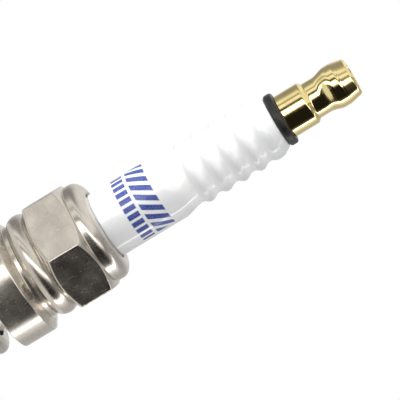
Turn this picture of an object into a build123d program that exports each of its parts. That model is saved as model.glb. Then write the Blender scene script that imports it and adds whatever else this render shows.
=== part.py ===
from build123d import *
from math import cos, radians, tan
import os

# Spark plug, M10 x 1 thread, long reach, 14 mm hexagon, resistor and iridium tip.
# The plug's axis is Z. z = 0 is the flange's sealing face, +Z runs up to the terminal nut
# and the spark gap is at the lower end. Lengths are millimetres, "radius" is from the axis.

# ---- metal shell, outside ----
THREAD_RADIUS = 5.0            # nominal M10
THREAD_PITCH = 1.0
THREAD_REACH = 26.5            # sealing face to the shell's lower end
CREST_RELIEF = 0.03            # external crests stand this far under nominal
THREAD_LEAD_IN = 0.7           # chamfer on the lower end of the thread
NECK_RADIUS = 4.5              # plain undercut that the gasket hangs on
NECK_LENGTH = 3.9              # sealing face down to the first turn
FLANGE_RADIUS = 7.75
FLANGE_HEIGHT = 4.95
FLANGE_EDGE = 0.15             # broken edge under the flange
FLANGE_BEVEL_WIDTH = 1.15       # bevel on top of the flange, radial
FLANGE_BEVEL_HEIGHT = 0.75     # and along the axis
GROOVE_RADIUS = 6.2            # groove between flange and buckled ring
GROOVE_HEIGHT = 0.6
BUCKLE_END_RADIUS = 6.3        # thin ring that buckles outwards when the shell is hot-crimped
BUCKLE_BULGE = 0.6
BUCKLE_HEIGHT = 2.65
HEX_ACROSS_FLATS = 14.0
HEX_HEIGHT = 5.8
HEX_FACE_INSET = 0.3           # the end faces' circle is this far inside the flats
HEX_CHAMFER_ANGLE = 30.0
COLLAR_RADIUS = 6.65           # crimp collar over the hexagon
COLLAR_HEIGHT = 0.75            # its straight part
LIP_HEIGHT = 1.45              # the part that is rolled inwards
LIP_NOSE = 0.25                 # rounding where the lip meets the insulator
LIP_THICKNESS = 1.15           # top of the lip to the packing under it

# ---- metal shell, inside ----
GAS_BORE_RADIUS = 3.1          # round the insulator's firing end
LEDGE_RADIUS = 2.6             # inner edge of the seat that carries the insulator
LEDGE_DEPTH = 13.6             # that edge below the sealing face
LEDGE_LAND = 0.9               # its height
SEAT_RISE = 0.4                # rise of the conical seat
BARREL_GAP = 0.1               # insulator barrel to shell
STEP_DEPTH_GAP = 0.4           # insulator step to shell step, along the axis
SHOULDER_GAP = 0.1             # insulator shoulder to shell
LIP_GAP = 0.2                  # crimped lip to insulator
LIP_SLOPE = 0.15               # rise of the lip's underside

# ---- insulator ----
NOSE_PROJECTION = 1.5          # past the shell's lower end
NOSE_RADIUS = 1.85
NOSE_ROUND = 0.3
LEG_RADIUS = 2.5               # at the seat
BARREL_RADIUS = 3.2
STEP_Z = 1.6                   # foot of the step from barrel to shoulder
STEP_RISE = 1.0
SHOULDER_RADIUS = 4.9
SHOULDER_EDGE = 0.3
TRUNK_RADIUS = 4.3
PACKED_RELIEF = 0.05           # inside the shell the trunk is ground this much thinner
TRUNK_LENGTH = 9.0            # plain trunk between the lip and the ribs
RIB_COUNT = 5
RIB_PITCH = 2.44
RIB_CREST_RADIUS = 4.2
RIB_VALLEY_RADIUS = 3.75
RIB_LEAD = 2.75                # trunk's end to the first valley
RIB_RISE = 1.1                 # valley to the next crest
LAST_CREST_RADIUS = 4.1
INSULATOR_TAPER = 1.99         # last crest to the top face
INSULATOR_TOP_RADIUS = 3.45
INSULATOR_TOP_ROUND = 0.3
BORE_RADIUS = 1.6              # terminal stud, glass and resistor
ELECTRODE_BORE_RADIUS = 1.0
BORE_SHELF_RISE = 1.9          # shell's seat to the cone that the electrode's head hangs in
BORE_SHELF_DROP = 0.5

# ---- packings between shell and insulator ----
SEAT_PACKING_THICKNESS = 0.3   # along the axis
PACKING_GAP = 0.05             # packing rings and washer to the walls beside them
RING_HEIGHT = 0.5              # packing rings, flattened from round wire
RING_ROUND = 0.15
TALC_HEIGHT = 1.9

# ---- conductors inside the insulator ----
STUD_GAP = 0.1                 # stud to insulator bore
STUD_ROOT_GAP = 2.0            # resistor to the lower end of the stud
STUD_ROOT_RADIUS = 1.25
STUD_ROOT_LENGTH = 4.0
STUD_RIDGES = 5
STUD_RIDGE_DEPTH = 0.12
UPPER_GLASS_HEIGHT = 6.3
RESISTOR_LENGTH = 10.0
LOWER_GLASS_HEIGHT = 3.7       # bore's cone to the resistor
HEAD_RADIUS = 1.45             # centre electrode's head
HEAD_HEIGHT = 0.7
ELECTRODE_GAP = 0.02           # electrode to its bore
ELECTRODE_PROJECTION = 0.9     # nickel electrode past the insulator nose
ELECTRODE_TAPER = 0.6
ELECTRODE_END_RADIUS = 0.5
COPPER_RADIUS = 0.6
COPPER_TOP_GAP = 0.5           # electrode head's top to the copper
COPPER_END_GAP = 2.2           # copper to the electrode's lower end
TIP_WELD_HEIGHT = 0.25
TIP_RADIUS = 0.3
TIP_LENGTH = 0.45

# ---- ground electrode ----
SPARK_GAP = 0.9
PAD_RADIUS = 0.45
PAD_HEIGHT = 0.2
STRAP_WIDTH = 2.2
STRAP_THICKNESS = 1.1
STRAP_BEND = 1.5               # inner radius of the bend
STRAP_OVERHANG = 0.75          # past the plug's axis
STRAP_EDGE = 0.12
WELD_HEIGHT = 0.3
WELD_SPREAD_SIDE = 0.35        # upset metal beside the strap
WELD_SPREAD_WALL = 0.1         # and inside and outside it

# ---- crush gasket ----
GASKET_RADIUS = 7.0
GASKET_HEIGHT = 1.9
GASKET_INNER_RADIUS = 4.85     # under the thread's crest, so the gasket can't fall off
GASKET_STEEL = 0.36
GASKET_FOLD_GAP = 0.12         # between the folded layers
GASKET_PLAY = 0.02             # to the first turn when it hangs, to the flange when it is up

# ---- terminal ----
M4_RADIUS = 2.0
M4_PITCH = 0.7
STUD_RELIEF = 0.04             # stud crests under nominal
NUT_THREAD_GAP = 0.06          # nut thread to stud thread, square to the surfaces
NUT_MINOR_RADIUS = 1.68
STUD_COLLAR_RADIUS = 1.95
STUD_COLLAR_HEIGHT = 0.6
STUD_THREAD_LENGTH = 8.1
STUD_CHAMFER = 0.4
RING_SECTION = 1.15            # O-ring, as it is squeezed
RING_INNER_RADIUS = 2.35
RING_PLAY = 0.025              # O-ring to insulator and to nut
NUT_SPIGOT_RADIUS = 2.3
NUT_RADIUS = 2.8
NUT_BASE_HEIGHT = 3.5
NUT_BASE_ROUND = 0.3
NUT_WAIST_RADIUS = 2.38
NUT_WAIST_HEIGHT = 1.35
NUT_WAIST_ROUND = 0.35         # rise from the waist to the base's round
NUT_FLARE_HEIGHT = 1.85
NUT_LAND_HEIGHT = 0.8
NUT_TAPER_HEIGHT = 1.85
NUT_END_RADIUS = 2.45
NUT_END_EDGE = 0.2
NUT_TOP_PLAIN = 1.0            # plain end of the threaded hole

# ---- places that follow from the sizes above ----
SHELL_END_Z = -THREAD_REACH
THREAD_CREST = THREAD_RADIUS - CREST_RELIEF
THREAD_ROOT = THREAD_CREST - 0.6134 * THREAD_PITCH
BUCKLE_Z = FLANGE_HEIGHT + GROOVE_HEIGHT
HEX_Z = BUCKLE_Z + BUCKLE_HEIGHT
COLLAR_Z = HEX_Z + HEX_HEIGHT
LIP_Z = COLLAR_Z + COLLAR_HEIGHT
LIP_TOP_Z = LIP_Z + LIP_HEIGHT
LIP_RADIUS = TRUNK_RADIUS + LIP_GAP
PACKED_RADIUS = TRUNK_RADIUS - PACKED_RELIEF
BARREL_BORE = BARREL_RADIUS + BARREL_GAP
SHOULDER_BORE = SHOULDER_RADIUS + SHOULDER_GAP
LEDGE_Z = -LEDGE_DEPTH
NOSE_Z = SHELL_END_Z - NOSE_PROJECTION
PACKING_TOP_Z = LIP_TOP_Z - LIP_THICKNESS
TALC_TOP_Z = PACKING_TOP_Z - RING_HEIGHT
TALC_Z = TALC_TOP_Z - TALC_HEIGHT
SHOULDER_TOP_Z = TALC_Z - RING_HEIGHT
TRUNK_TOP_Z = LIP_TOP_Z + TRUNK_LENGTH
INSULATOR_TOP_Z = TRUNK_TOP_Z + RIB_LEAD + (RIB_COUNT - 1) * RIB_PITCH + RIB_RISE + INSULATOR_TAPER
BORE_SHELF_Z = LEDGE_Z + BORE_SHELF_RISE
RESISTOR_Z = BORE_SHELF_Z + LOWER_GLASS_HEIGHT
RESISTOR_TOP_Z = RESISTOR_Z + RESISTOR_LENGTH
UPPER_GLASS_TOP_Z = RESISTOR_TOP_Z + UPPER_GLASS_HEIGHT
STUD_ROOT_Z = RESISTOR_TOP_Z + STUD_ROOT_GAP
HEAD_TOP_Z = BORE_SHELF_Z + HEAD_HEIGHT
ELECTRODE_RADIUS = ELECTRODE_BORE_RADIUS - ELECTRODE_GAP
ELECTRODE_END_Z = NOSE_Z - ELECTRODE_PROJECTION
TIP_Z = ELECTRODE_END_Z - TIP_WELD_HEIGHT
TIP_END_Z = TIP_Z - TIP_LENGTH
PAD_TOP_Z = TIP_END_Z - SPARK_GAP
STRAP_Z = PAD_TOP_Z - PAD_HEIGHT
STRAP_X = (GAS_BORE_RADIUS + THREAD_CREST - THREAD_LEAD_IN) / 2
GASKET_Z = GASKET_PLAY - NECK_LENGTH
NUT_BASE_Z = INSULATOR_TOP_Z + RING_SECTION + 2 * RING_PLAY
NUT_TOP_Z = (NUT_BASE_Z + NUT_BASE_HEIGHT + NUT_WAIST_ROUND + NUT_WAIST_HEIGHT
             + NUT_FLARE_HEIGHT + NUT_LAND_HEIGHT + NUT_TAPER_HEIGHT)
STUD_COLLAR_Z = INSULATOR_TOP_Z + STUD_COLLAR_HEIGHT
STUD_TOP_Z = STUD_COLLAR_Z + STUD_THREAD_LENGTH
STUD_CREST = M4_RADIUS - STUD_RELIEF
STUD_CORE = STUD_CREST - 0.6134 * M4_PITCH


def turned(outline):
    """Solid turned about the plug's axis, from a closed outline in (radius, height)."""
    return revolve(make_face(Plane.XZ * outline), Axis.Z)


def tube(inner, outer, low, high):
    """Plain ring or tube between two heights."""
    return turned(Polyline((inner, low), (outer, low), (outer, high), (inner, high), close=True))


def rod(radius, low, high):
    """Plain round bar between two heights."""
    return tube(0, radius, low, high)


def width_at(radius, tip, tip_width):
    """Width of a 60 degree thread tooth at a radius, from its width at the tip."""
    return tip_width + 2 * (tip - radius) * tan(radians(30))


def helical_tooth(pitch, low, high, base, tip, tip_width):
    """Right-hand helical tooth of 60 degrees between two heights, from base to tip radius."""
    half_tip = tip_width / 2
    half_base = width_at(base, tip, tip_width) / 2
    corners = ((base, -half_base), (tip, -half_tip), (tip, half_tip), (base, half_base))
    lines = [Edge.make_helix(pitch, high - low, radius, center=(0, 0, shift)) for radius, shift in corners]
    flanks = [Face.make_surface_from_curves(lines[i], lines[(i + 1) % 4]) for i in range(4)]
    caps = [Face(Wire.make_polygon([line @ end for line in lines], close=True)) for end in (0, 1)]
    turns_below_zero = low / pitch
    return Pos(0, 0, low) * Rot(0, 0, 360 * turns_below_zero) * Solid(Shell(flanks + caps))


def shell_thread():
    """M10 x 1 tooth, cut off by the neck above and by the lead-in chamfer below."""
    tooth = helical_tooth(
        THREAD_PITCH, SHELL_END_Z - THREAD_PITCH, -NECK_LENGTH + THREAD_PITCH,
        THREAD_ROOT - CREST_RELIEF, THREAD_CREST, THREAD_PITCH / 8)
    blank = turned(Polyline(
        (0, SHELL_END_Z), (THREAD_CREST - THREAD_LEAD_IN, SHELL_END_Z),
        (THREAD_RADIUS, SHELL_END_Z + THREAD_LEAD_IN + CREST_RELIEF),
        (THREAD_RADIUS, -NECK_LENGTH), (0, -NECK_LENGTH), close=True))
    return tooth & blank


def shell_body():
    """Turned outside of the shell: thread core, neck, flange, buckled ring, collar and lip."""
    core_end = THREAD_CREST - THREAD_LEAD_IN
    foot = Polyline(
        (0, LIP_TOP_Z), (0, SHELL_END_Z), (core_end, SHELL_END_Z),
        (THREAD_ROOT, SHELL_END_Z + THREAD_ROOT - core_end), (THREAD_ROOT, -NECK_LENGTH),
        (NECK_RADIUS, -NECK_LENGTH), (NECK_RADIUS, 0), (FLANGE_RADIUS - FLANGE_EDGE, 0),
        (FLANGE_RADIUS, FLANGE_EDGE), (FLANGE_RADIUS, FLANGE_HEIGHT - FLANGE_BEVEL_HEIGHT),
        (FLANGE_RADIUS - FLANGE_BEVEL_WIDTH, FLANGE_HEIGHT), (GROOVE_RADIUS, FLANGE_HEIGHT),
        (GROOVE_RADIUS, BUCKLE_Z), (BUCKLE_END_RADIUS, BUCKLE_Z))
    buckle = ThreePointArc(
        (BUCKLE_END_RADIUS, BUCKLE_Z), (BUCKLE_END_RADIUS + BUCKLE_BULGE, BUCKLE_Z + BUCKLE_HEIGHT / 2),
        (BUCKLE_END_RADIUS, HEX_Z))
    collar = Polyline((BUCKLE_END_RADIUS, HEX_Z), (COLLAR_RADIUS, HEX_Z), (COLLAR_RADIUS, LIP_Z))
    lip_edge = LIP_RADIUS + LIP_NOSE
    lip = EllipticalCenterArc(
        (lip_edge, LIP_Z), COLLAR_RADIUS - lip_edge, LIP_HEIGHT, start_angle=0, arc_size=90)
    top = Line((lip_edge, LIP_TOP_Z), (0, LIP_TOP_Z))
    return turned(foot + buckle + collar + lip + top)


def shell_hexagon():
    """Wrench hexagon with its corners turned off at both ends."""
    flat = HEX_ACROSS_FLATS / 2
    corner = flat / cos(radians(30))
    face = flat - HEX_FACE_INSET
    drop = (corner - face) * tan(radians(HEX_CHAMFER_ANGLE))
    prism = extrude(Pos(0, 0, HEX_Z) * RegularPolygon(corner, 6), HEX_HEIGHT)
    blank = turned(Polyline(
        (0, HEX_Z), (face, HEX_Z), (corner, HEX_Z + drop),
        (corner, COLLAR_Z - drop), (face, COLLAR_Z), (0, COLLAR_Z), close=True))
    return prism & blank


def shell_bore():
    """Space inside the shell: gas pocket, insulator seat, barrel bore, shoulder bore and lip."""
    seat_top = LEDGE_Z + SEAT_RISE
    land_foot = LEDGE_Z - LEDGE_LAND
    relief = GAS_BORE_RADIUS - LEDGE_RADIUS
    step_foot = STEP_Z - STEP_DEPTH_GAP
    over = LIP_TOP_Z + 1
    return turned(Polyline(
        (0, SHELL_END_Z - 1), (GAS_BORE_RADIUS, SHELL_END_Z - 1), (GAS_BORE_RADIUS, land_foot - relief),
        (LEDGE_RADIUS, land_foot), (LEDGE_RADIUS, LEDGE_Z), (BARREL_BORE, seat_top),
        (BARREL_BORE, step_foot), (SHOULDER_BORE, step_foot + STEP_RISE), (SHOULDER_BORE, PACKING_TOP_Z),
        (LIP_RADIUS, PACKING_TOP_Z + LIP_SLOPE), (LIP_RADIUS, LIP_TOP_Z - LIP_NOSE),
        (LIP_RADIUS + LIP_NOSE, LIP_TOP_Z), (LIP_RADIUS + LIP_NOSE, over), (0, over), close=True))


def metal_shell():
    return shell_body() + shell_hexagon() + shell_thread() - shell_bore()


def rib_line():
    """Outline of the ribbed part, from the plain trunk to the tapered top."""
    valley = TRUNK_TOP_Z + RIB_LEAD
    points = [(TRUNK_RADIUS, TRUNK_TOP_Z)]
    for rib in range(RIB_COUNT):
        crest = LAST_CREST_RADIUS if rib == RIB_COUNT - 1 else RIB_CREST_RADIUS
        points.append((RIB_VALLEY_RADIUS, valley + rib * RIB_PITCH))
        points.append((crest, valley + rib * RIB_PITCH + RIB_RISE))
    top = (INSULATOR_TOP_RADIUS, INSULATOR_TOP_Z - INSULATOR_TOP_ROUND)
    taper = (top[0] - points[-1][0], top[1] - points[-1][1])
    return Spline(*points, top, tangents=[(0, 1)] * len(points) + [taper])


def seat_line(gap):
    """Two ends of the insulator's conical shoulder, a gap above the shell's seat."""
    slope = SEAT_RISE / (BARREL_BORE - LEDGE_RADIUS)
    return [(r, LEDGE_Z + gap + slope * (r - LEDGE_RADIUS)) for r in (LEG_RADIUS, BARREL_RADIUS)]


def insulator_bore():
    """Stepped bore: wide for stud, glass and resistor, narrow for the electrode."""
    below = NOSE_Z - 1
    above = INSULATOR_TOP_Z + 1
    return turned(Polyline(
        (0, below), (ELECTRODE_BORE_RADIUS, below), (ELECTRODE_BORE_RADIUS, BORE_SHELF_Z - BORE_SHELF_DROP),
        (BORE_RADIUS, BORE_SHELF_Z), (BORE_RADIUS, above), (0, above), close=True))


def insulator():
    ribs = rib_line()
    top_round = INSULATOR_TOP_RADIUS - INSULATOR_TOP_ROUND
    crown = Polyline(
        ribs @ 1, (top_round, INSULATOR_TOP_Z), (0, INSULATOR_TOP_Z), (0, NOSE_Z),
        (NOSE_RADIUS - NOSE_ROUND, NOSE_Z))
    nose = ThreePointArc(
        (NOSE_RADIUS - NOSE_ROUND, NOSE_Z),
        (NOSE_RADIUS - 0.3 * NOSE_ROUND, NOSE_Z + 0.3 * NOSE_ROUND),
        (NOSE_RADIUS, NOSE_Z + NOSE_ROUND))
    shoulder_edge = SHOULDER_RADIUS - SHOULDER_EDGE
    sides = Polyline(
        (NOSE_RADIUS, NOSE_Z + NOSE_ROUND), *seat_line(SEAT_PACKING_THICKNESS),
        (BARREL_RADIUS, STEP_Z), (SHOULDER_RADIUS, STEP_Z + STEP_RISE),
        (SHOULDER_RADIUS, SHOULDER_TOP_Z - SHOULDER_EDGE), (shoulder_edge, SHOULDER_TOP_Z),
        (PACKED_RADIUS, SHOULDER_TOP_Z), (PACKED_RADIUS, LIP_TOP_Z), (TRUNK_RADIUS, LIP_TOP_Z),
        (TRUNK_RADIUS, TRUNK_TOP_Z))
    return turned(ribs + crown + nose + sides) - insulator_bore()


def seat_packing():
    """Thin conical washer between the shell's seat and the insulator."""
    slope = SEAT_RISE / (BARREL_BORE - LEDGE_RADIUS)
    inner = LEDGE_RADIUS + PACKING_GAP
    outer = BARREL_RADIUS - PACKING_GAP
    low_inner = LEDGE_Z + slope * PACKING_GAP
    low_outer = LEDGE_Z + slope * (outer - LEDGE_RADIUS)
    return turned(Polyline(
        (inner, low_inner), (outer, low_outer), (outer, low_outer + SEAT_PACKING_THICKNESS),
        (inner, low_inner + SEAT_PACKING_THICKNESS), close=True))


def packing_ring(low):
    """Wire ring, pressed flat above and below, that shuts the talc in."""
    inner = PACKED_RADIUS + PACKING_GAP
    outer = SHOULDER_BORE - PACKING_GAP
    middle = ((inner + outer) / 2, low + RING_HEIGHT / 2)
    section = Pos(*middle) * RectangleRounded(outer - inner, RING_HEIGHT, RING_ROUND)
    return revolve(Plane.XZ * section, Axis.Z)


def talc_packing():
    return tube(PACKED_RADIUS, SHOULDER_BORE, TALC_Z, TALC_TOP_Z)


def stud_outline():
    """Knurled root in the glass, plain shank and collar of the terminal stud."""
    shank = BORE_RADIUS - STUD_GAP
    step = STUD_ROOT_LENGTH / STUD_RIDGES
    root_points = [(0, STUD_ROOT_Z)]
    for ridge in range(STUD_RIDGES):
        foot = STUD_ROOT_Z + ridge * step
        root_points.append((STUD_ROOT_RADIUS - STUD_RIDGE_DEPTH, foot))
        root_points.append((STUD_ROOT_RADIUS, foot + step / 2))
    collar_points = [
        (STUD_ROOT_RADIUS - STUD_RIDGE_DEPTH, STUD_ROOT_Z + STUD_ROOT_LENGTH),
        (shank, STUD_ROOT_Z + STUD_ROOT_LENGTH + shank - STUD_ROOT_RADIUS),
        (shank, INSULATOR_TOP_Z), (STUD_COLLAR_RADIUS, INSULATOR_TOP_Z),
        (STUD_COLLAR_RADIUS, STUD_COLLAR_Z), (STUD_CORE, STUD_COLLAR_Z),
        (STUD_CORE, STUD_TOP_Z), (0, STUD_TOP_Z)]
    return Polyline(*root_points, *collar_points, close=True)


def terminal_stud():
    """Steel stem with an M4 end that the terminal nut screws onto."""
    tooth = helical_tooth(
        M4_PITCH, STUD_COLLAR_Z - M4_PITCH, STUD_TOP_Z + M4_PITCH,
        STUD_CORE - STUD_RELIEF, STUD_CREST, M4_PITCH / 8)
    blank = turned(Polyline(
        (0, STUD_COLLAR_Z), (STUD_CREST, STUD_COLLAR_Z), (STUD_CREST, STUD_TOP_Z - STUD_CHAMFER),
        (STUD_CREST - STUD_CHAMFER, STUD_TOP_Z), (0, STUD_TOP_Z), close=True))
    return turned(stud_outline()) + (tooth & blank)


def upper_glass_seal():
    return rod(BORE_RADIUS, RESISTOR_TOP_Z, UPPER_GLASS_TOP_Z) - turned(stud_outline())


def resistor():
    return rod(BORE_RADIUS, RESISTOR_Z, RESISTOR_TOP_Z)


def electrode_blank():
    """Outside of the nickel centre electrode, head included."""
    drop = (HEAD_RADIUS - ELECTRODE_RADIUS) * BORE_SHELF_DROP / (BORE_RADIUS - ELECTRODE_BORE_RADIUS)
    return turned(Polyline(
        (0, HEAD_TOP_Z), (HEAD_RADIUS, HEAD_TOP_Z), (HEAD_RADIUS, BORE_SHELF_Z),
        (ELECTRODE_RADIUS, BORE_SHELF_Z - drop), (ELECTRODE_RADIUS, ELECTRODE_END_Z + ELECTRODE_TAPER),
        (ELECTRODE_END_RADIUS, ELECTRODE_END_Z), (0, ELECTRODE_END_Z), close=True))


def copper_core():
    return rod(COPPER_RADIUS, ELECTRODE_END_Z + COPPER_END_GAP, HEAD_TOP_Z - COPPER_TOP_GAP)


def centre_electrode():
    return electrode_blank() - copper_core()


def lower_glass_seal():
    """Glass between resistor and electrode, flowed round the electrode's head."""
    return rod(BORE_RADIUS, BORE_SHELF_Z, RESISTOR_Z) - electrode_blank()


def tip_weld():
    """Laser-welded bead that joins the fine tip to the nickel electrode."""
    return turned(Polyline(
        (0, ELECTRODE_END_Z), (ELECTRODE_END_RADIUS, ELECTRODE_END_Z),
        (TIP_RADIUS, TIP_Z), (0, TIP_Z), close=True))


def iridium_tip():
    return rod(TIP_RADIUS, TIP_END_Z, TIP_Z)


def ground_electrode():
    """Nickel strap, welded under the shell and bent in below the tip."""
    middle_z = STRAP_Z - STRAP_THICKNESS / 2
    bend = STRAP_BEND + STRAP_THICKNESS / 2
    path = FilletPolyline(
        (STRAP_X, 0, SHELL_END_Z), (STRAP_X, 0, middle_z), (-STRAP_OVERHANG, 0, middle_z), radius=bend)
    section = Plane(origin=path @ 0, z_dir=path % 0) * RectangleRounded(
        STRAP_THICKNESS, STRAP_WIDTH, STRAP_EDGE)
    return sweep(section, path=path)


def ground_weld():
    """Metal upset round the root of the strap when it is welded on."""
    bead = Pos(STRAP_X, 0, SHELL_END_Z - WELD_HEIGHT / 2) * Box(
        STRAP_THICKNESS + 2 * WELD_SPREAD_WALL, STRAP_WIDTH + 2 * WELD_SPREAD_SIDE, WELD_HEIGHT)
    bead = fillet(bead.edges().filter_by(Axis.Z), WELD_SPREAD_WALL)
    bead = chamfer(bead.faces().sort_by(Axis.Z)[0].edges(), WELD_SPREAD_WALL / 2)
    return bead - ground_electrode()


def ground_pad():
    return rod(PAD_RADIUS, STRAP_Z, PAD_TOP_Z)


def gasket_line():
    """Middle of a steel strip folded back on itself: round rim outside, loose edge tucked in at the bore."""
    half = GASKET_STEEL / 2
    low = GASKET_Z + half
    high = GASKET_Z + GASKET_HEIGHT - half
    rim = (high - low) / 2
    inner = GASKET_INNER_RADIUS + half
    hook = (GASKET_STEEL + GASKET_FOLD_GAP) / 2
    rim_centre = GASKET_RADIUS - half - rim
    line = Line((inner, high), (rim_centre, high))
    line += ThreePointArc((rim_centre, high), (rim_centre + rim, low + rim), (rim_centre, low))
    line += Line((rim_centre, low), (inner + hook, low))
    line += ThreePointArc((inner + hook, low), (inner, low + hook), (inner + hook, low + 2 * hook))
    line += Line((inner + hook, low + 2 * hook), (rim_centre, low + 2 * hook))
    return line


def crush_gasket():
    """Folded steel washer, loose on the neck between the flange and the first turn."""
    return revolve(Plane.XZ * trace(gasket_line(), GASKET_STEEL), Axis.Z)


def terminal_o_ring():
    """Rubber ring under the nut, squeezed between nut and insulator."""
    half = RING_SECTION / 2
    centre = (RING_INNER_RADIUS + half, INSULATOR_TOP_Z + RING_PLAY + half)
    return revolve(Plane.XZ * (Pos(*centre) * Circle(half)), Axis.Z)


def nut_blank():
    """Outside of the terminal nut: spigot, base, waist and head for the cap's clip."""
    base_top = NUT_BASE_Z + NUT_BASE_HEIGHT
    waist_z = base_top + NUT_WAIST_ROUND
    flare_z = waist_z + NUT_WAIST_HEIGHT
    land_z = flare_z + NUT_FLARE_HEIGHT
    taper_z = land_z + NUT_LAND_HEIGHT
    base = Polyline(
        (0, NUT_TOP_Z), (0, STUD_COLLAR_Z), (NUT_SPIGOT_RADIUS, STUD_COLLAR_Z),
        (NUT_SPIGOT_RADIUS, NUT_BASE_Z), (NUT_RADIUS, NUT_BASE_Z), (NUT_RADIUS, base_top - NUT_BASE_ROUND))
    neck = Spline(
        (NUT_RADIUS, base_top - NUT_BASE_ROUND), (NUT_WAIST_RADIUS, waist_z), (NUT_WAIST_RADIUS, flare_z),
        (NUT_RADIUS, land_z), tangents=[(0, 1)] * 4)
    head = Polyline(
        (NUT_RADIUS, land_z), (NUT_RADIUS, taper_z), (NUT_END_RADIUS, NUT_TOP_Z - NUT_END_EDGE),
        (NUT_END_RADIUS - NUT_END_EDGE, NUT_TOP_Z), (0, NUT_TOP_Z))
    return turned(base + neck + head)


def terminal_nut():
    """Gold-coloured brass nut with a tapped hole, screwed down on the stud."""
    thread_end = NUT_TOP_Z - NUT_TOP_PLAIN
    groove_tip = STUD_CREST + NUT_THREAD_GAP
    flank_gap = 2 * NUT_THREAD_GAP / cos(radians(30))
    groove_width = width_at(groove_tip, STUD_CREST, M4_PITCH / 8) + flank_gap
    groove = helical_tooth(
        M4_PITCH, STUD_COLLAR_Z - M4_PITCH, thread_end, NUT_MINOR_RADIUS - NUT_THREAD_GAP,
        groove_tip, groove_width)
    hole = rod(NUT_MINOR_RADIUS, STUD_COLLAR_Z - 1, NUT_TOP_Z + 1)
    return nut_blank() - (hole + groove)


def build():
    """Every piece by name."""
    return {
        "metal_shell": metal_shell(),
        "insulator": insulator(),
        "seat_packing": seat_packing(),
        "lower_packing_ring": packing_ring(SHOULDER_TOP_Z),
        "talc_packing": talc_packing(),
        "upper_packing_ring": packing_ring(TALC_TOP_Z),
        "terminal_stud": terminal_stud(),
        "upper_glass_seal": upper_glass_seal(),
        "resistor": resistor(),
        "lower_glass_seal": lower_glass_seal(),
        "centre_electrode": centre_electrode(),
        "copper_core": copper_core(),
        "tip_weld": tip_weld(),
        "iridium_tip": iridium_tip(),
        "ground_electrode": ground_electrode(),
        "ground_weld": ground_weld(),
        "ground_pad": ground_pad(),
        "crush_gasket": crush_gasket(),
        "terminal_o_ring": terminal_o_ring(),
        "terminal_nut": terminal_nut(),
    }


os.makedirs("parts", exist_ok=True)
for name, piece in build().items():
    export_step(piece, f"parts/{name}.step")
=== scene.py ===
import math
import bpy
import bmesh
from mathutils import Matrix, Vector


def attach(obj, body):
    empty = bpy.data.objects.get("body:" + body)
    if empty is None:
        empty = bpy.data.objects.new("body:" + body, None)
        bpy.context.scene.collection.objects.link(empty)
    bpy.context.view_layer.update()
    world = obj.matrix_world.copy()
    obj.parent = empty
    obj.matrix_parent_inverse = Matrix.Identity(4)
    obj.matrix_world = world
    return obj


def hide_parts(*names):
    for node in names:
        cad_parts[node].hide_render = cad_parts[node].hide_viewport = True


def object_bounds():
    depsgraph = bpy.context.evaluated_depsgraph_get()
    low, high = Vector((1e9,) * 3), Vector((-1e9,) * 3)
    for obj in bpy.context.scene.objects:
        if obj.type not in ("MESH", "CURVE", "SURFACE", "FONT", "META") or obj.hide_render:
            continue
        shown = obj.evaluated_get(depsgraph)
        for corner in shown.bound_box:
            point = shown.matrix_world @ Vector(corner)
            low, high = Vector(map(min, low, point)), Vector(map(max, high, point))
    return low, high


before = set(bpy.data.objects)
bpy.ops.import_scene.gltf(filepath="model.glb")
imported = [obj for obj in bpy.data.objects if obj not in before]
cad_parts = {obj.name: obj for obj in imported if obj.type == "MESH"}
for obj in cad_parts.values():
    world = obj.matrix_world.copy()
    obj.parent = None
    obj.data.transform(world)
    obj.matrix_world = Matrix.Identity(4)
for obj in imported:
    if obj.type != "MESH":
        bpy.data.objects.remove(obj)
cad_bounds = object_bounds()

# ---------------------------------------------------------------- camera
# The plug floats with its terminal end up to the right and 6 degrees nearer the lens. A long lens
# looks square on at one corner of the hexagon, which is turned a little past the middle.
mm = 0.001
plug_axis = Vector((0, 0, 1))
corner_turn = math.radians(297.5)
lean = math.radians(6.3)
roll = math.radians(31.15)
towards_lens = Vector((
    math.cos(corner_turn) * math.cos(lean), math.sin(corner_turn) * math.cos(lean), math.sin(lean)))
below_axis = plug_axis.cross(towards_lens).normalized()
along_axis = towards_lens.cross(below_axis)
lens_right = math.cos(roll) * along_axis + math.sin(roll) * below_axis
lens_up = math.sin(roll) * along_axis - math.cos(roll) * below_axis
aim = plug_axis * 27.78 * mm + below_axis * 3.33 * mm
distance = 340 * mm
camera_data = bpy.data.cameras.new("camera")
camera_data.lens = 249.3
camera_data.sensor_width = 36
camera_data.clip_start = 0.01
camera_data.clip_end = 20
camera = bpy.data.objects.new("camera", camera_data)
camera.matrix_world = Matrix((
    (lens_right.x, lens_up.x, towards_lens.x, 0), (lens_right.y, lens_up.y, towards_lens.y, 0),
    (lens_right.z, lens_up.z, towards_lens.z, 0), (0, 0, 0, 1)))
camera.location = aim + towards_lens * distance
bpy.context.scene.collection.objects.link(camera)
bpy.context.scene.camera = camera
bpy.context.scene.view_settings.view_transform = "Standard"


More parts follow.
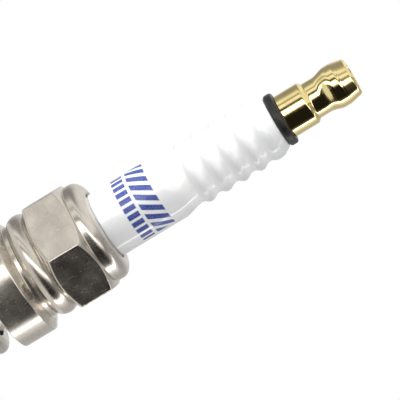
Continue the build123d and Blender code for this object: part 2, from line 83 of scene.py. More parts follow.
# ---------------------------------------------------------------- shader arithmetic
class Shade:
    """One output in a node tree. Arithmetic on it adds the Math nodes that it says."""

    def __init__(self, tree, socket=None):
        self.tree = tree
        self.socket = socket

    def node(self, kind, settings=None, inputs=None, output=0):
        """Any other node: its type, its settings, then the values or links of its sockets."""
        made = self.tree.nodes.new(kind)
        for name, value in (settings or {}).items():
            if name == "stops":
                self.set_stops(made.color_ramp, value)
            else:
                setattr(made, name, value)
        for name, value in (inputs or {}).items():
            if isinstance(value, Shade):
                self.tree.links.new(value.socket, made.inputs[name])
            else:
                made.inputs[name].default_value = value
        return Shade(self.tree, None if output is None else made.outputs[output])

    def set_stops(self, ramp, stops):
        while len(ramp.elements) < len(stops):
            ramp.elements.new(0.5)
        for element, (place, value) in zip(ramp.elements, stops):
            element.position = place
            element.color = (*value, 1) if isinstance(value, tuple) else (value, value, value, 1)

    def math(self, operation, *values):
        return self.node("ShaderNodeMath", {"operation": operation}, dict(enumerate(values)))

    def __add__(self, other):
        return self.math("ADD", self, other)

    def __radd__(self, other):
        return self.math("ADD", other, self)

    def __sub__(self, other):
        return self.math("SUBTRACT", self, other)

    def __rsub__(self, other):
        return self.math("SUBTRACT", other, self)

    def __mul__(self, other):
        return self.math("MULTIPLY", self, other)

    def __rmul__(self, other):
        return self.math("MULTIPLY", other, self)

    def __truediv__(self, other):
        return self.math("DIVIDE", self, other)

    def __gt__(self, other):
        return self.math("GREATER_THAN", self, other)

    def __lt__(self, other):
        return self.math("LESS_THAN", self, other)


# ---------------------------------------------------------------- floor and light
# A plain white floor under the plug and a white surround, which is all that the lens sees. What
# shines in the metal is a ring of light and dark bands round the plug's axis, with a softbox above
# and a strip light below.
floor_size = 0.12
floor_drop = 3
floor_z = cad_bounds[0].z - floor_drop * mm
floor_mesh = bpy.data.meshes.new("floor")
floor_bm = bmesh.new()
bmesh.ops.create_circle(floor_bm, cap_ends=True, segments=96, radius=floor_size)
bmesh.ops.translate(floor_bm, verts=floor_bm.verts, vec=(0, 0, floor_z))
floor_bm.to_mesh(floor_mesh)
floor_bm.free()
floor = bpy.data.objects.new("floor", floor_mesh)
bpy.context.scene.collection.objects.link(floor)
floor_paint = bpy.data.materials.new("floor_paint")
floor_paint.use_nodes = True
floor_shader = floor_paint.node_tree.nodes["Principled BSDF"]
floor_shader.inputs["Base Color"].default_value = (0.62, 0.62, 0.62, 1)
floor_shader.inputs["Roughness"].default_value = 0.9
floor_shader.inputs["Emission Color"].default_value = (1, 1, 1, 1)
floor_shader.inputs["Emission Strength"].default_value = 0.16
floor_mesh.materials.append(floor_paint)

world = bpy.data.worlds.new("studio")
world.use_nodes = True
bpy.context.scene.world = world
sky_tree = world.node_tree
sky_tree.nodes.clear()
sky = Shade(sky_tree)
direction = sky.node("ShaderNodeTexCoord", output=0)


def part_along(axis):
    """How far the looked-at direction runs along an axis."""
    return sky.node(
        "ShaderNodeVectorMath", {"operation": "DOT_PRODUCT"}, {0: direction, 1: tuple(axis)}, output=1)


below = part_along(below_axis)
facing = part_along(towards_lens)
lengthwise = part_along(plug_axis)
turn = below.math("ARCTAN2", below, facing) / (2 * math.pi) + 0.5


def at(degrees):
    """Place on the ramp of a direction round the plug, from the lens towards below_axis."""
    return degrees / 360 + 0.5


def limited(value, low, high):
    """The value, held between two limits."""
    return value.math("MAXIMUM", value.math("MINIMUM", value, high), low)


# The upper lights lie aslant: the nearer to the terminal's end of the studio, the lower they hang.
rise = lengthwise.math("ARCSINE", lengthwise) / (2 * math.pi)
slant = 1.1 * (limited(rise, -0.12, 0.12) + lean / (2 * math.pi))
turn_aslant = turn - slant
upper_lights = [
    (at(-180), (0.90, 0.90, 0.90)),
    (at(-160), (0.70, 0.70, 0.70)),
    (at(-138), (0.34, 0.34, 0.34)),
    (at(-112), (0.34, 0.34, 0.34)),
    (at(-98), (0.56, 0.56, 0.56)),
    (at(-90), (1.05, 1.05, 1.04)),
    (at(-78), (1.05, 1.05, 1.04)),
    (at(-72), (0.36, 0.36, 0.35)),
    (at(-68), (0.36, 0.36, 0.35)),
    (at(-63), (1.20, 1.19, 1.17)),
    (at(-51), (1.16, 1.15, 1.13)),
    (at(-45), (0.06, 0.06, 0.05)),
    (at(-36), (0.06, 0.06, 0.05)),
    (at(-32), (1.0, 1.0, 1.0)),
    (at(-10), (0.9, 0.9, 0.9)),
    (at(-4), (0.10, 0.09, 0.08)),
    (at(4), (0.0, 0.0, 0.0)),
]
lower_lights = [
    (at(73), (0.0, 0.0, 0.0)),
    (at(84), (0.08, 0.08, 0.08)),
    (at(90), (0.95, 0.95, 0.95)),
    (at(106), (1.0, 1.0, 1.0)),
    (at(122), (0.55, 0.55, 0.55)),
    (at(152), (0.55, 0.55, 0.55)),
    (at(180), (0.90, 0.90, 0.90)),
]
from_above = sky.node("ShaderNodeValToRGB", {"stops": upper_lights}, {0: turn_aslant})
from_below = sky.node("ShaderNodeValToRGB", {"stops": lower_lights}, {0: turn})
both_sides = sky.node(
    "ShaderNodeMix", {"data_type": "RGBA", "blend_type": "ADD"},
    {0: 1.0, 6: from_above, 7: from_below}, output=2)
room_glow = (0.014, 0.012, 0.010, 1)
room_light = sky.node(
    "ShaderNodeMix", {"data_type": "RGBA", "blend_type": "ADD"},
    {0: 1.0, 6: both_sides, 7: room_glow}, output=2)
long_reach = (lengthwise > -0.75) * (lengthwise < 0.8)
softbox = (turn_aslant > at(-32)) * (turn_aslant < at(-10)) * long_reach
strip_light = (turn > at(90)) * (turn < at(97)) * long_reach
end_light = sky.node(
    "ShaderNodeValToRGB", {"stops": [(0.0, 0.0), (0.30, 0.0), (0.72, 0.75)]},
    {0: lengthwise.math("ABSOLUTE", lengthwise)})
bright_panels = sky.node(
    "ShaderNodeMix", {"data_type": "RGBA"},
    {0: (lengthwise > 0.0) * (turn < at(2)), 6: (0.42, 0.42, 0.42, 1), 7: (1.2, 1.19, 1.17, 1)}, output=2)
dark_panel = (lengthwise < 0.0) * (turn > at(2)) * (turn < at(82))
end_panels = sky.node(
    "ShaderNodeMix", {"data_type": "RGBA"},
    {0: dark_panel, 6: bright_panels, 7: (0.08, 0.065, 0.05, 1)}, output=2)
ends = sky.node(
    "ShaderNodeMix", {"data_type": "RGBA"}, {0: end_light, 6: room_light, 7: end_panels}, output=2)
room_strength = 0.97
softbox_strength = 2.6
strip_strength = 5.0
strength = room_strength + softbox * softbox_strength + strip_light * strip_strength
reflected = sky.node("ShaderNodeBackground", {}, {"Color": ends, "Strength": strength})
seen = sky.node("ShaderNodeBackground", {}, {"Color": (1, 1, 1, 1), "Strength": 1.0})
camera_ray = sky.node("ShaderNodeLightPath", output=0)
surround = sky.node("ShaderNodeMixShader", {}, {0: camera_ray, 1: reflected, 2: seen})
sky.node("ShaderNodeOutputWorld", {}, {"Surface": surround}, output=None)

# A large soft lamp high on the lens's side brightens the white ceramic. It is flagged off, so
# that the metal does not mirror it.
flat_front = Vector((math.cos(corner_turn), math.sin(corner_turn), 0))
lamp_turn = math.radians(-72)
lamp_side = math.cos(lamp_turn) * flat_front + math.sin(lamp_turn) * below_axis + 0.3 * plug_axis
lamp_data = bpy.data.lights.new("lamp", "SUN")
lamp_data.energy = 2.6
lamp_data.angle = math.radians(30)
lamp = bpy.data.objects.new("lamp", lamp_data)
lamp.rotation_euler = lamp_side.to_track_quat("Z", "Y").to_euler()
lamp.visible_glossy = False
bpy.context.scene.collection.objects.link(lamp)


# ---------------------------------------------------------------- metal shell
# One piece of cold-forged steel, turned, then nickel-plated to a satin shine: thread, neck, flange,
# a ring that buckled when the shell was hot-crimped, the wrench hexagon and the rolled-over collar.
shell_end = -26.5
neck_length = 3.9
thread_crest = 4.97
thread_root = thread_crest - 0.6134
thread_pitch = 1.0
thread_lead_in = 0.7
neck_radius = 4.5
flange_radius = 7.75
flange_top = 4.95
bevel_width = 1.15
bevel_height = 0.75
groove_radius = 6.2
buckle_foot = 5.55
hex_foot = 8.2
buckle_end = 6.3
hex_top = 14.0
hex_flat = 7.0
hex_face = hex_flat - 0.3
hex_corner = hex_flat / math.cos(math.radians(30))
collar_radius = 6.65
lip_foot = 14.75
lip_top = 16.2
lip_radius = 4.5
lip_under = 15.2
packing_room = 5.0
packing_floor = 2.2
barrel_room = 3.3
barrel_room_top = 1.2
seat_radius = 2.6
seat_top = -13.2
seat_foot = -14.5
nose_room = 3.1
turning_steps = 144


def held(outline, closed=False, margin=0.1):
    """The outline with a point added near each end of its long lines, so that they shade straight."""
    points = []
    following = outline[1:] + outline[:1] if closed else outline[1:]
    for start, end in zip(outline, following):
        points.append(start)
        length = math.dist(start, end)
        if length > 4 * margin:
            for share in (margin / length, 1 - margin / length):
                points.append(tuple(a + (b - a) * share for a, b in zip(start, end)))
    return points if closed else points + [outline[-1]]


def turn_outline(outline, steps=turning_steps, closed=False):
    """A bmesh turned about the plug's axis from points given as (radius, height) in millimetres."""
    made = bmesh.new()
    points = [made.verts.new((radius * mm, 0, height * mm)) for radius, height in outline]
    ends = points[1:] + points[:1] if closed else points[1:]
    lines = [made.edges.new(pair) for pair in zip(points, ends)]
    bmesh.ops.spin(
        made, geom=points + lines, cent=(0, 0, 0), axis=(0, 0, 1), angle=2 * math.pi,
        steps=steps, use_merge=True)
    bmesh.ops.remove_doubles(made, verts=made.verts, dist=1e-7)
    bmesh.ops.recalc_face_normals(made, faces=made.faces)
    return made


def arc(centre, radii, start, end, steps):
    """Points on an elliptical arc in (radius, height), with its angles in degrees."""
    turns = [math.radians(start + (end - start) * step / steps) for step in range(steps + 1)]
    return [(centre[0] + radii[0] * math.cos(a), centre[1] + radii[1] * math.sin(a)) for a in turns]


def break_edges(made, width, chosen, segments=3):
    """Rounds the sharp edges whose middle point passes the test, which gets (radius, height) in mm."""
    sharp = []
    for edge in made.edges:
        middle = (edge.verts[0].co + edge.verts[1].co) / 2 / mm
        if len(edge.link_faces) == 2 and edge.calc_face_angle() > math.radians(17):
            if chosen(middle.xy.length, middle.z):
                sharp.append(edge)
    bmesh.ops.bevel(
        made, geom=sharp, offset=width * mm, offset_type="OFFSET", segments=segments, profile=0.5,
        affect="EDGES", clamp_overlap=True, material=-1)


def finished(name, made, body, *nodes):
    """Turns a bmesh into a smooth-shaded piece that rides on a body and stands for CAD nodes."""
    mesh = bpy.data.meshes.new(name)
    made.to_mesh(mesh)
    made.free()
    for face in mesh.polygons:
        face.use_smooth = True
    piece = bpy.data.objects.new(name, mesh)
    bpy.context.scene.collection.objects.link(piece)
    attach(piece, body)
    if nodes:
        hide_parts(*nodes)
    return piece


buckle_height = hex_foot - buckle_foot
buckle_bulge = 0.6
buckle_curve = (buckle_height ** 2 / 4 + buckle_bulge ** 2) / 2 / buckle_bulge
buckle_half_turn = math.degrees(math.asin(buckle_height / 2 / buckle_curve))
buckle_arc = arc(
    (buckle_end + buckle_bulge - buckle_curve, (buckle_foot + hex_foot) / 2), (buckle_curve, buckle_curve),
    -buckle_half_turn, buckle_half_turn, 12)
lip_nose = 0.25
lip_arc = arc(
    (lip_radius + lip_nose, lip_foot), (collar_radius - lip_radius - lip_nose, lip_top - lip_foot), 0, 90, 12)
thread_tip = thread_crest - thread_lead_in
below_hex = [
    (thread_tip, shell_end), (thread_root, shell_end + thread_root - thread_tip),
    (thread_root, -neck_length), (neck_radius, -neck_length), (neck_radius, 0), (flange_radius, 0),
    (flange_radius, flange_top - bevel_height), (flange_radius - bevel_width, flange_top),
    (groove_radius, flange_top), (groove_radius, buckle_foot), *buckle_arc, (hex_face, hex_foot)]
above_hex = [
    (hex_face, hex_top), (collar_radius, hex_top), *lip_arc,
    (lip_radius, lip_top - lip_nose), (lip_radius, lip_under), (packing_room, lip_under - 0.15),
    (packing_room, packing_floor), (barrel_room, barrel_room_top), (barrel_room, seat_top),
    (seat_radius, seat_top - 0.4), (seat_radius, seat_foot), (nose_room, seat_foot - 0.5),
    (nose_room, shell_end)]
shell_outline = held(below_hex) + [(hex_corner, hex_foot + 1), (hex_corner, hex_top - 1)] + held(above_hex)
shell_made = turn_outline(shell_outline, closed=True)
for vert in shell_made.verts:
    place = vert.co / mm
    if abs(place.xy.length - hex_corner) < 0.01:
        sixth = math.atan2(place.y, place.x) % math.radians(60)
        reach = hex_flat / math.cos(sixth - math.radians(30))
        drop = (reach - hex_face) * math.tan(math.radians(30))
        level = hex_foot + drop if place.z < (hex_foot + hex_top) / 2 else hex_top - drop
        direction_out = place.xy.normalized() * reach
        vert.co = Vector((direction_out.x, direction_out.y, level)) * mm
shell_made.normal_update()
break_edges(
    shell_made, 0.13,
    lambda radius, height: hex_foot + 0.05 < height < hex_top - 0.05 and radius > hex_face + 0.1)
break_edges(shell_made, 0.12, lambda radius, height: radius > flange_radius - 0.01 and height < 5, 4)
bevel_edge = flange_radius - bevel_width
break_edges(
    shell_made, 0.10,
    lambda radius, height: abs(radius - bevel_edge) < 0.05 and abs(height - flange_top) < 0.1)
break_edges(shell_made, 0.06, lambda radius, height: height < shell_end + 0.05)
wrench_flats = [
    face for face in shell_made.faces
    if face.calc_area() > 0.5 * mm * mm and abs(face.normal.z) < 0.01
    and face.calc_center_median().xy.length > (hex_flat - 0.1) * mm
    and face.calc_center_median().z > hex_foot * mm]
bmesh.ops.inset_region(
    shell_made, faces=wrench_flats, thickness=0.12 * mm, use_even_offset=True, use_boundary=True)
shell = finished("shell", shell_made, "plug", "metal_shell")

tooth_half_tip = thread_pitch / 16
tooth_half_base = tooth_half_tip + (thread_crest - thread_root + 0.05) * math.tan(math.radians(30))
thread_turns = 25
steps_a_turn = 72
thread_made = bmesh.new()
tooth_corners = [
    (thread_root - 0.05, -tooth_half_base), (thread_crest, -tooth_half_tip),
    (thread_crest, tooth_half_tip), (thread_root - 0.05, tooth_half_base)]
tooth = [thread_made.verts.new((r * mm, 0, (shell_end - 1 + z) * mm)) for r, z in tooth_corners]
tooth_face = thread_made.faces.new(tooth)
bmesh.ops.spin(
    thread_made, geom=[tooth_face], cent=(0, 0, 0), axis=(0, 0, 1),
    dvec=(0, 0, thread_pitch * mm / steps_a_turn), angle=2 * math.pi * thread_turns,
    steps=steps_a_turn * thread_turns)
for level, normal in ((shell_end, (0, 0, -1)), (-neck_length, (0, 0, 1))):
    whole = thread_made.verts[:] + thread_made.edges[:] + thread_made.faces[:]
    cut = bmesh.ops.bisect_plane(
        thread_made, geom=whole, plane_co=(0, 0, level * mm), plane_no=normal, clear_outer=True)
    rims = [edge for edge in cut["geom_cut"] if isinstance(edge, bmesh.types.BMEdge)]
    bmesh.ops.holes_fill(thread_made, edges=rims, sides=0)
for vert in thread_made.verts:
    most = thread_tip + (vert.co.z / mm - shell_end)
    radius = vert.co.xy.length / mm
    if radius > most:
        vert.co.xy = vert.co.xy * most / radius
bmesh.ops.recalc_face_normals(thread_made, faces=thread_made.faces)
shell_thread = finished("shell_thread", thread_made, "plug", "metal_shell")


def new_material(name):
    """An empty material: its tree, its shader and the place on the piece in millimetres."""
    made = bpy.data.materials.new(name)
    made.use_nodes = True
    shader = made.node_tree.nodes["Principled BSDF"]
    tree = Shade(made.node_tree)
    coordinates = tree.node("ShaderNodeTexCoord", output="Object")
    place = tree.node("ShaderNodeVectorMath", {"operation": "SCALE"}, {0: coordinates, "Scale": 1000.0})
    return made, shader, tree, place


def connect(shader, **inputs):
    """Links values to the shader's sockets, or sets them where they are plain numbers."""
    for name, value in inputs.items():
        socket = shader.inputs[name.replace("_", " ")]
        if isinstance(value, Shade):
            value.tree.links.new(value.socket, socket)
        else:
            socket.default_value = value


def stretched(tree, place, scale):
    """The place, stretched by a different factor along each axis."""
    return tree.node("ShaderNodeVectorMath", {"operation": "MULTIPLY"}, {0: place, 1: scale})


def noise(tree, place, scale, detail=3.0, roughness=0.55):
    return tree.node(
        "ShaderNodeTexNoise", {"noise_dimensions": "3D"},
        {"Vector": place, "Scale": scale, "Detail": detail, "Roughness": roughness})


def ramp(tree, value, low, high):
    """Zero below low, one above high, and a straight rise between."""
    return tree.node(
        "ShaderNodeMapRange", {"clamp": True},
        {"Value": value, "From Min": low, "From Max": high, "To Min": 0.0, "To Max": 1.0})


def blend_colour(tree, share, first, second):
    """A colour between two others."""
    return tree.node("ShaderNodeMix", {"data_type": "RGBA"}, {0: share, 6: first, 7: second}, output=2)


def bump(tree, height, strength, distance):
    return tree.node("ShaderNodeBump", {}, {"Height": height, "Strength": strength, "Distance": distance})


def turned_metal(name, bright, dull, shine, matt, lathe_depth, dents=0.0):
    """Plated or bare metal off a lathe: fine rings round the axis, hairline scratches, faint stains."""
    made, shader, tree, place = new_material(name)
    patches = ramp(tree, noise(tree, place, 0.35, 4.0), 0.38, 0.66)
    rings = noise(tree, stretched(tree, place, (0.12, 0.12, 22.0)), 1.0, 2.0)
    hairlines = ramp(tree, noise(tree, stretched(tree, place, (7.0, 7.0, 0.6)), 1.4, 2.0), 0.66, 0.74)
    pits = ramp(tree, noise(tree, place, 2.6, 2.0), 0.70, 0.78)
    connect(
        shader, Metallic=1.0,
        Base_Color=blend_colour(tree, patches * 0.75 + pits * 0.25, bright, dull),
        Roughness=shine + patches * (matt - shine) + hairlines * 0.08 + pits * 0.1,
        Normal=bump(tree, rings * lathe_depth + pits * -dents - hairlines * 0.0015, 1.0, 0.001))
    return made


nickel = turned_metal(
    "satin_nickel", (0.655, 0.61, 0.54, 1), (0.55, 0.505, 0.44, 1), 0.20, 0.28, 0.0025, 0.002)
shell.data.materials.append(nickel)
shell_thread.data.materials.append(nickel)


# ---------------------------------------------------------------- insulator
# Alumina, pressed, ground and fired with a clear glaze: a plain trunk with a printed band, five
# soft ribs and a tapered top. The part inside the shell and the firing nose are bare ceramic.
trunk_radius = 4.3
packed_radius = trunk_radius - 0.05
shoulder_radius = 4.9
shoulder_top = 12.15
barrel_radius = 3.2
barrel_top = 1.6
nose_root = -13.3
nose_root_radius = 2.5
nose_radius = 1.85
nose_end = -28.0
electrode_bore = 1.0
stud_bore = 1.6
stud_bore_foot = -11.7
trunk_middle = 20.0
trunk_top = 25.2
rib_count = 5
first_valley = trunk_top + 2.75
rib_pitch = 2.44
valley_radius = 3.75
crest_radius = 4.2
last_crest_radius = 4.1
insulator_top = 40.8
top_round = 0.38


def eased(start, end, steps):
    """Points of a soft S between two (radius, height) points, both ends parallel to the axis."""
    points = []
    for step in range(steps + 1):
        share = step / steps
        soft = share * share * (3 - 2 * share)
        points.append((start[0] + (end[0] - start[0]) * soft, start[1] + (end[1] - start[1]) * share))
    return points[1:]


rib_outline = [(trunk_radius, trunk_top)]
rib_outline += eased((trunk_radius, trunk_top), (valley_radius, first_valley - 0.1), 8)
for rib in range(rib_count):
    valley = first_valley + rib * rib_pitch
    last_rib = rib == rib_count - 1
    crest = last_crest_radius if last_rib else crest_radius
    rib_outline.append((valley_radius, valley + 0.12))
    rib_outline += eased((valley_radius, valley + 0.12), (crest, valley + 0.98), 8)
    if not last_rib:
        rib_outline.append((crest, valley + 1.22))
        rib_outline += eased((crest, valley + 1.22), (valley_radius, valley + rib_pitch - 0.12), 9)
rib_outline += [(4.09, insulator_top - 1.6), (3.99, insulator_top - 1.1), (3.5, insulator_top - 0.3)]
rib_outline += arc((3.1, insulator_top - top_round), (top_round, top_round), 20, 90, 4)
insulator_outline = [
    (electrode_bore, nose_end), (nose_radius - 0.3, nose_end), (nose_radius - 0.1, nose_end + 0.07),
    (nose_radius, nose_end + 0.3), (nose_root_radius, nose_root), (barrel_radius, nose_root + 0.4),
    (barrel_radius, barrel_top), (shoulder_radius, barrel_top + 1.0),
    (shoulder_radius, shoulder_top - 0.3), (shoulder_radius - 0.3, shoulder_top),
    (packed_radius, shoulder_top), (packed_radius, lip_top), (trunk_radius, lip_top),
    (trunk_radius, trunk_middle), *rib_outline, (stud_bore, insulator_top),
    (stud_bore, stud_bore_foot), (electrode_bore, stud_bore_foot - 0.5)]
insulator_made = turn_outline(held(insulator_outline, closed=True), closed=True)
insulator = finished("insulator_body", insulator_made, "plug", "insulator")

glaze, glaze_shader, glaze_tree, glaze_place = new_material("white_glaze")
across_x, across_y, height = (
    glaze_tree.node("ShaderNodeSeparateXYZ", {}, {0: glaze_place}, output=axis) for axis in "XYZ")
front = corner_turn
towards = across_x * math.cos(front) + across_y * math.sin(front)
sideways = across_x * -math.sin(front) + across_y * math.cos(front)
round_trunk = sideways.math("ARCTAN2", sideways, towards) * trunk_radius


def between(value, low, high, soft=0.05):
    """One inside a range of millimetres, nought outside, with a narrow soft border."""
    over = ramp(glaze_tree, value, high - soft, high + soft)
    return ramp(glaze_tree, value, low - soft, low + soft) * (1 - over)


def stripes(value, pitch, share, soft=0.05):
    """Rows of bars: one over a share of each pitch."""
    phase = value.math("PINGPONG", value, pitch / 2)
    return 1 - ramp(glaze_tree, phase, pitch * share / 2 - soft, pitch * share / 2 + soft)


print_start = -6.9
print_end = 5.15
bars_foot = 21.5
bars_top = 24.0
bar_pitch = 1.42
bar_slope = 0.62
blocks_foot = 19.5
blocks_top = 21.1
block_pitch = 1.05
printed_arc = between(round_trunk, print_start, print_end)
slanted = round_trunk - (height - 21.0) * bar_slope
wide_bars = stripes(slanted, bar_pitch, 0.58) * between(height, bars_foot, bars_top)
small_blocks = stripes(round_trunk + 0.2, block_pitch, 0.66) * between(height, blocks_foot, blocks_top)
ink = (wide_bars + small_blocks) * printed_arc
grain = ramp(glaze_tree, noise(glaze_tree, glaze_place, 9.0, 2.0), 0.30, 0.62)
ink_share = ink * (0.86 + grain * 0.12)
clouds = noise(glaze_tree, glaze_place, 0.25, 2.0)
bare = ramp(glaze_tree, height, lip_top - 2.2, lip_top - 2.0)
plain_colour = blend_colour(glaze_tree, clouds, (0.83, 0.835, 0.845, 1), (0.80, 0.81, 0.825, 1))
off_axis = across_x.math("SQRT", across_x * across_x + across_y * across_y)
crest_shade_share = ramp(glaze_tree, off_axis, valley_radius, crest_radius)
# Painted light and shade: the valleys are painted lighter and the crests greyer than the plain glaze. This
# stands in for how the light falls on the ribs; the real glaze is one even white.
painted_rib_shade = blend_colour(glaze_tree, crest_shade_share, (0.95, 0.95, 0.95, 1), (0.78, 0.785, 0.79, 1))
ribs_foot = 26.2
ribs_top = 38.6
ribbed = between(height, ribs_foot, ribs_top, 0.8)
# Plain glaze colour on the trunk, and the painted rib shade over the ribs.
ceramic_colour_and_rib_shade = blend_colour(glaze_tree, ribbed, plain_colour, painted_rib_shade)
ink_colour = blend_colour(glaze_tree, grain, (0.028, 0.068, 0.36, 1), (0.013, 0.036, 0.25, 1))
ripple = noise(glaze_tree, glaze_place, 0.9, 2.0)
fine_speck = noise(glaze_tree, glaze_place, 14.0, 2.0)
connect(
    glaze_shader,
    Base_Color=blend_colour(glaze_tree, ink_share, ceramic_colour_and_rib_shade, ink_colour),
    Roughness=0.55 - bare * 0.47 + ink * 0.12 + fine_speck * 0.02,
    Specular_IOR_Level=0.5,
    Normal=bump(glaze_tree, ripple * 0.02 + ink * 0.004 + fine_speck * 0.0006, 1.0, 0.001))
insulator.data.materials.append(glaze)


# ---------------------------------------------------------------- crush gasket
# A strip of zinc-bright steel folded back on itself and closed to a ring. It hangs loose on the
# neck and is squeezed flat when the plug is tightened.
gasket_radius = 7.0
gasket_inner = 4.85
gasket_foot = -3.88
gasket_height = 1.9
gasket_steel = 0.36
fold_radius = (gasket_height - gasket_steel) / 2
fold_centre = (gasket_radius - gasket_steel / 2 - fold_radius, gasket_foot + gasket_height / 2)
hook_radius = 0.24
hook_centre = (gasket_inner + gasket_steel / 2 + hook_radius, gasket_foot + gasket_steel / 2 + hook_radius)
half_steel = gasket_steel / 2
outside_fold = arc(fold_centre, (fold_radius + half_steel,) * 2, 90, -90, 14)
outside_hook = arc(hook_centre, (hook_radius + half_steel,) * 2, 270, 90, 8)
inside_hook = arc(hook_centre, (hook_radius - half_steel,) * 2, 90, 270, 4)
inside_fold = arc(fold_centre, (fold_radius - half_steel,) * 2, -90, 90, 12)
gasket_outline = [
    (gasket_inner + half_steel, gasket_foot + gasket_height), *outside_fold, *outside_hook,
    (fold_centre[0], hook_centre[1] + hook_radius + half_steel),
    (fold_centre[0], hook_centre[1] + hook_radius - half_steel), *inside_hook, *inside_fold,
    (gasket_inner + half_steel, gasket_foot + gasket_height - gasket_steel)]
gasket_made = turn_outline(held(gasket_outline, closed=True, margin=0.06), closed=True)
gasket = finished("gasket_ring", gasket_made, "gasket", "crush_gasket")
zinc = turned_metal(
    "zinc_bright_steel", (0.60, 0.58, 0.54, 1), (0.47, 0.45, 0.41, 1), 0.20, 0.32, 0.003, 0.006)
gasket.data.materials.append(zinc)


# ---------------------------------------------------------------- packings, glass and resistor
# Closed inside the shell and the insulator: soft steel wire and washer, pressed talc, fused glass
# and the carbon resistor. They show only in a section.
def powder(name, light, dark, coarse, rough):
    """Pressed or fused powder: two tones in coarse grains."""
    made, shader, tree, place = new_material(name)
    grains = ramp(tree, noise(tree, place, coarse, 4.0, 0.7), 0.35, 0.65)
    connect(
        shader, Base_Color=blend_colour(tree, grains, light, dark), Roughness=rough + grains * 0.15,
        Normal=bump(tree, grains * 0.02, 1.0, 0.001))
    return made


soft_steel = turned_metal(
    "soft_steel", (0.50, 0.50, 0.50, 1), (0.38, 0.37, 0.36, 1), 0.30, 0.45, 0.002, 0.004)
talc = powder("pressed_talc", (0.82, 0.80, 0.76, 1), (0.70, 0.68, 0.64, 1), 6.0, 0.75)
seal_glass = powder("sealing_glass", (0.20, 0.17, 0.16, 1), (0.07, 0.06, 0.06, 1), 5.0, 0.35)
carbon = powder("resistor_carbon", (0.06, 0.06, 0.065, 1), (0.02, 0.02, 0.022, 1), 7.0, 0.5)
for node, paint in (
        ("seat_packing", soft_steel), ("lower_packing_ring", soft_steel), ("upper_packing_ring", soft_steel),
        ("talc_packing", talc), ("upper_glass_seal", seal_glass), ("lower_glass_seal", seal_glass),
        ("resistor", carbon)):
    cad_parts[node].data.materials.clear()
    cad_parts[node].data.materials.append(paint)


# ---------------------------------------------------------------- terminal stud
# Plain steel stem down the insulator's bore, with a collar on top of the ceramic and an M4 end
# that shows when the terminal nut is off.
stud_steel = turned_metal(
    "bright_stud_steel", (0.58, 0.57, 0.56, 1), (0.45, 0.44, 0.42, 1), 0.22, 0.36, 0.004, 0.003)
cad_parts["terminal_stud"].data.materials.clear()
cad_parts["terminal_stud"].data.materials.append(stud_steel)


# ---------------------------------------------------------------- electrodes
# Nickel-alloy centre electrode with a copper core, a laser-welded bead and a fine hard tip. The
# strap under it is bent from flat nickel wire and resistance-welded to the shell's end face.
electrode_nickel = turned_metal(
    "electrode_nickel", (0.50, 0.47, 0.43, 1), (0.38, 0.35, 0.31, 1), 0.28, 0.42, 0.003, 0.004)
weld_grey = turned_metal(
    "weld_bead", (0.42, 0.41, 0.40, 1), (0.26, 0.24, 0.25, 1), 0.30, 0.50, 0.006, 0.008)
hard_tip = turned_metal(
    "iridium_grey", (0.70, 0.70, 0.72, 1), (0.60, 0.60, 0.62, 1), 0.16, 0.26, 0.002, 0.001)
copper = turned_metal(
    "copper", (0.80, 0.42, 0.28, 1), (0.62, 0.30, 0.20, 1), 0.25, 0.40, 0.002, 0.002)
for node, paint in (
        ("centre_electrode", electrode_nickel), ("copper_core", copper), ("tip_weld", weld_grey),
        ("iridium_tip", hard_tip), ("ground_electrode", electrode_nickel), ("ground_weld", weld_grey),
        ("ground_pad", hard_tip)):
    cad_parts[node].data.materials.clear()
    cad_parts[node].data.materials.append(paint)


# ---------------------------------------------------------------- terminal ring
# Moulded black rubber round the nut's spigot. It fills the gap between the insulator's top and
# the nut's base.
ring_section = 1.15
ring_inner = 2.35
ring_foot = insulator_top + 0.025
ring_corner = 0.34
ring_outline = []
for corner_r, corner_z, start in (
        (ring_inner + ring_section - ring_corner, ring_foot + ring_corner, -90),
        (ring_inner + ring_section - ring_corner, ring_foot + ring_section - ring_corner, 0),
        (ring_inner + ring_corner, ring_foot + ring_section - ring_corner, 90),
        (ring_inner + ring_corner, ring_foot + ring_corner, 180)):
    ring_outline += arc((corner_r, corner_z), (ring_corner, ring_corner), start, start + 90, 6)
ring_made = turn_outline(ring_outline, steps=96, closed=True)
rubber_ring = finished("rubber_ring", ring_made, "o_ring", "terminal_o_ring")
rubber, rubber_shader, rubber_tree, rubber_place = new_material("black_rubber")
dust = ramp(rubber_tree, noise(rubber_tree, rubber_place, 1.6, 4.0), 0.45, 0.75)
fine = noise(rubber_tree, rubber_place, 18.0, 2.0)
connect(
    rubber_shader,
    Base_Color=blend_colour(rubber_tree, dust, (0.008, 0.007, 0.006, 1), (0.020, 0.017, 0.014, 1)),
    Roughness=0.34 + dust * 0.2 + fine * 0.05,
    Normal=bump(rubber_tree, fine * 0.006 + dust * 0.004, 1.0, 0.001))
rubber_ring.data.materials.append(rubber)


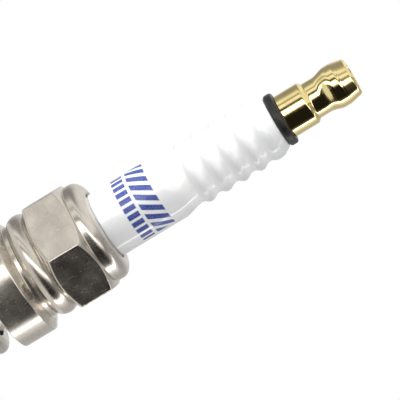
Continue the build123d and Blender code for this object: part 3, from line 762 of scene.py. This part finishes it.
# ---------------------------------------------------------------- terminal nut
# Brass, turned and gold-flashed: a spigot in the ring, a round base, a waist and the head that the
# cap's clip snaps over. Its bore has no thread: it is a room clear of the stud's thread, with a
# narrower mouth at the top.
nut_radius = 2.8
nut_foot = 42.0
spigot_radius = 2.3
spigot_foot = 41.4
base_top = nut_foot + 3.5
base_round = 0.3
waist_radius = 2.38
waist_foot = base_top + 0.35
waist_top = waist_foot + 1.35
land_foot = waist_top + 1.85
land_top = land_foot + 0.8
nut_top = land_top + 1.85
nut_end = 2.45
nut_bore = 1.68
thread_room = 2.06
plain_bore_foot = nut_top - 1.0
nut_outline = [
    (thread_room, spigot_foot), (spigot_radius, spigot_foot), (spigot_radius, nut_foot),
    (nut_radius, nut_foot),
    (nut_radius, base_top - base_round),
    *eased((nut_radius, base_top - base_round), (waist_radius, waist_foot), 10),
    (waist_radius, waist_top), *eased((waist_radius, waist_top), (nut_radius, land_foot), 14),
    (nut_radius, land_top), *eased((nut_radius, land_top), (nut_radius - 0.06, land_top + 0.35), 4),
    (nut_end, nut_top - 0.2), (nut_end - 0.2, nut_top), (nut_bore, nut_top),
    (nut_bore, plain_bore_foot), (thread_room, plain_bore_foot)]
nut_made = turn_outline(held(nut_outline, closed=True), steps=120, closed=True)
break_edges(nut_made, 0.08, lambda radius, height: radius > thread_room + 0.05)
nut = finished("nut_body", nut_made, "nut", "terminal_nut")
gold, gold_shader, gold_tree, gold_place = new_material("gold_flash")
tarnish = ramp(gold_tree, noise(gold_tree, gold_place, 0.5, 4.0), 0.42, 0.7)
tool_marks = noise(gold_tree, stretched(gold_tree, gold_place, (0.15, 0.15, 16.0)), 1.0, 2.0)
connect(
    gold_shader, Metallic=1.0,
    Base_Color=blend_colour(gold_tree, tarnish, (0.90, 0.76, 0.37, 1), (0.80, 0.64, 0.29, 1)),
    Roughness=0.07 + tarnish * 0.06,
    Normal=bump(gold_tree, tool_marks * 0.0025, 1.0, 0.001))
nut.data.materials.append(gold)
